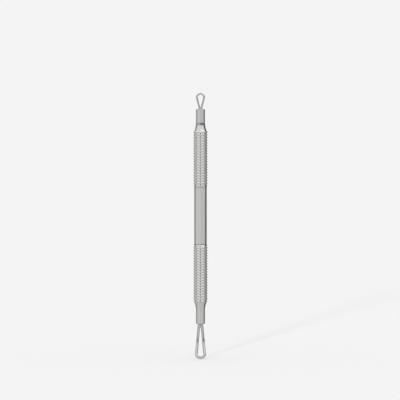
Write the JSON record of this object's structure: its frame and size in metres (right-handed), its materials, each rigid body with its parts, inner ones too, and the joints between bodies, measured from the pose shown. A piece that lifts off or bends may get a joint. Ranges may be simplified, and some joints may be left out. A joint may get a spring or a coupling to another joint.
{
  "type": "blackhead extractor",
  "caption": "Slim double-ended loop extractor: octagonal hollow handle with ribbed grips, flared necks, a small wire loop and a larger bent one.",
  "frame": {"origin": "on the handle's axis, level with the lowest point of the large loop", "axes": "+Z along the handle from the large loop to the small loop; a corner of the octagonal handle faces -Y, and the large loop is bent towards -Y"},
  "size_m": [0.0068, 0.0068, 0.1299],
  "materials": {
    "handle_steel": "satin, with fine lengthwise polishing marks",
    "neck_steel": "satin, a little smoother than the handle",
    "wire_steel": "drawn wire, polished",
    "filler_metal": "dull silver braze"
  },
  "bodies": {
    "root": {"handle_tube": "handle_steel", "lower_neck": "neck_steel", "upper_neck": "neck_steel", "lower_loop": "wire_steel", "upper_loop": "wire_steel", "lower_loop_braze": "filler_metal", "upper_loop_braze": "filler_metal", "lower_seam_braze": "filler_metal", "upper_seam_braze": "filler_metal"}
  },
  "joints": []
}
